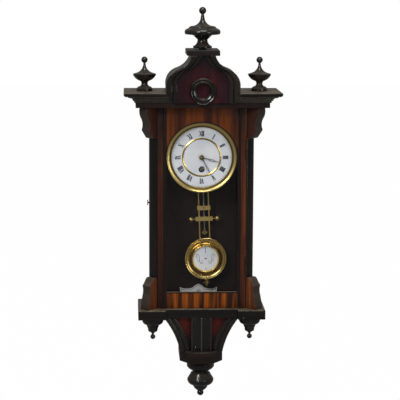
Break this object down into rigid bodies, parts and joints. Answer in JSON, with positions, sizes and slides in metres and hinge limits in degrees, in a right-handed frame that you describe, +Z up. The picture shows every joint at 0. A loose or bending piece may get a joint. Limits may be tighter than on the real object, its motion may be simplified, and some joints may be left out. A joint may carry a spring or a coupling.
{
  "type": "pendulum wall clock",
  "caption": "Weightless spring-driven regulator wall clock in a glazed case, with swinging pendulum, meshed going train, turning hands, opening door and turned finials.",
  "frame": {"origin": "centre of the hanging hole, on the wall plane behind the backboard", "axes": "+X to the right seen from the front, +Y towards the wall, +Z up"},
  "size_m": [0.372, 0.171, 0.9518],
  "materials": {
    "ebonised_wood": "satin black stain",
    "rosewood_veneer": "french polish",
    "red_stained_wood": "french polish",
    "dark_softwood": "stained",
    "brass": "polished",
    "steel": "polished",
    "blued_steel": "blued",
    "iron": "black",
    "enamel": "fired white enamel on copper",
    "glass": "clear"
  },
  "bodies": {
    "case": {"hanging_plate": "steel", "backboard": "dark_softwood", "case_sides": "rosewood_veneer", "corner_posts": "ebonised_wood", "bottom_board": "dark_softwood", "case_hinges": "brass", "case_lid": "ebonised_wood", "cornice_moulding": "ebonised_wood", "top_board": "ebonised_wood", "pediment_wall": "ebonised_wood", "pediment_panel": "red_stained_wood", "pediment_moulding": "ebonised_wood", "pediment_cap": "ebonised_wood", "roundel": "ebonised_wood", "top_finial": "ebonised_wood", "side_finials": "ebonised_wood", "corner_brackets": "rosewood_veneer", "plinth": "ebonised_wood", "corner_drops": "ebonised_wood", "console_sides": "ebonised_wood", "console_panel": "red_stained_wood", "console_mouldings": "ebonised_wood", "pilaster": "ebonised_wood", "console_block": "ebonised_wood", "bottom_finial": "ebonised_wood", "movement_frame": "brass", "movement_bracket": "iron", "back_cock": "brass", "dial_plate": "brass", "dial_enamel": "enamel", "dial_rings": "brass", "bezel": "brass", "suspension_cock": "brass", "beat_scale": "enamel"},
    "door": {"door_hinges": "brass", "door_rails": "rosewood_veneer", "door_stiles": "rosewood_veneer", "latch_staple": "steel", "door_glass": "glass", "door_beads": "rosewood_veneer"},
    "latch": {"door_latch": "brass"},
    "barrel": {"going_barrel": "brass"},
    "winding_spindle": {"winding_arbor": "steel"},
    "ratchet_click": {"click": "steel"},
    "centre": {"centre_wheel": "brass"},
    "third": {"third_wheel": "brass"},
    "escape": {"escape_wheel": "brass"},
    "anchor_arbor": {"anchor": "steel"},
    "cannon": {"cannon_pinion": "steel", "minute_hand": "blued_steel"},
    "minute": {"minute_wheel": "brass"},
    "hour": {"hour_wheel": "brass", "hour_hand": "blued_steel"},
    "pendulum": {"suspension_spring": "steel", "rod_frame": "brass", "centre_rod": "steel", "cross_plates": "brass", "bob_shell": "brass", "bob_enamel": "enamel", "rating_nut": "brass"}
  },
  "joints": [
    {"name": "door_open", "type": "hinge", "parent": "case", "child": "door", "pos_m": [0.10665, -0.1129, -0.2365], "axis": [0, 0, 1], "range_deg": [0, 105]},
    {"name": "door_latch_turn", "type": "hinge", "parent": "case", "child": "latch", "pos_m": [-0.125, -0.071, -0.225], "axis": [1, 0, 0], "range_deg": [0, 90]},
    {"name": "barrel_turn", "type": "hinge", "parent": "case", "child": "barrel", "pos_m": [0, -0.065, -0.142], "axis": [0, -1, 0], "continuous": true},
    {"name": "winding_turn", "type": "hinge", "parent": "case", "child": "winding_spindle", "pos_m": [0, -0.065, -0.142], "axis": [0, -1, 0], "continuous": true},
    {"name": "click_lift", "type": "hinge", "parent": "case", "child": "ratchet_click", "pos_m": [-0.0131, -0.082, -0.13], "axis": [0, -1, 0], "range_deg": [-15, 0]},
    {"name": "centre_turn", "type": "hinge", "parent": "case", "child": "centre", "pos_m": [0, -0.065, -0.113], "axis": [0, -1, 0], "continuous": true},
    {"name": "third_turn", "type": "hinge", "parent": "case", "child": "third", "pos_m": [0.01609, -0.065, -0.09601], "axis": [0, -1, 0], "continuous": true},
    {"name": "escape_turn", "type": "hinge", "parent": "case", "child": "escape", "pos_m": [0, -0.065, -0.0895], "axis": [0, -1, 0], "continuous": true},
    {"name": "anchor_rock", "type": "hinge", "parent": "case", "child": "anchor_arbor", "pos_m": [0, -0.06, -0.07], "axis": [0, -1, 0], "range_deg": [-5.4, 0.6]},
    {"name": "pendulum_swing", "type": "hinge", "parent": "case", "child": "pendulum", "pos_m": [0, -0.036, -0.07], "axis": [0, -1, 0], "range_deg": [-5.4, 0.6]},
    {"name": "minute_hand_turn", "type": "hinge", "parent": "case", "child": "cannon", "pos_m": [0, -0.065, -0.113], "axis": [0, -1, 0], "continuous": true},
    {"name": "minute_wheel_turn", "type": "hinge", "parent": "case", "child": "minute", "pos_m": [0.0099, -0.065, -0.1031], "axis": [0, -1, 0], "continuous": true},
    {"name": "hour_hand_turn", "type": "hinge", "parent": "case", "child": "hour", "pos_m": [0, -0.065, -0.113], "axis": [0, -1, 0], "continuous": true}
  ],
  "couplings": [
    {"joint": "centre_turn", "follows": "third_turn", "ratio": -0.083333},
    {"joint": "barrel_turn", "follows": "third_turn", "ratio": 0.010417},
    {"joint": "escape_turn", "follows": "third_turn", "ratio": -9.3333},
    {"joint": "anchor_rock", "follows": "pendulum_swing", "ratio": 1},
    {"joint": "minute_wheel_turn", "follows": "minute_hand_turn", "ratio": -0.33333},
    {"joint": "hour_hand_turn", "follows": "minute_hand_turn", "ratio": 0.083333}
  ]
}
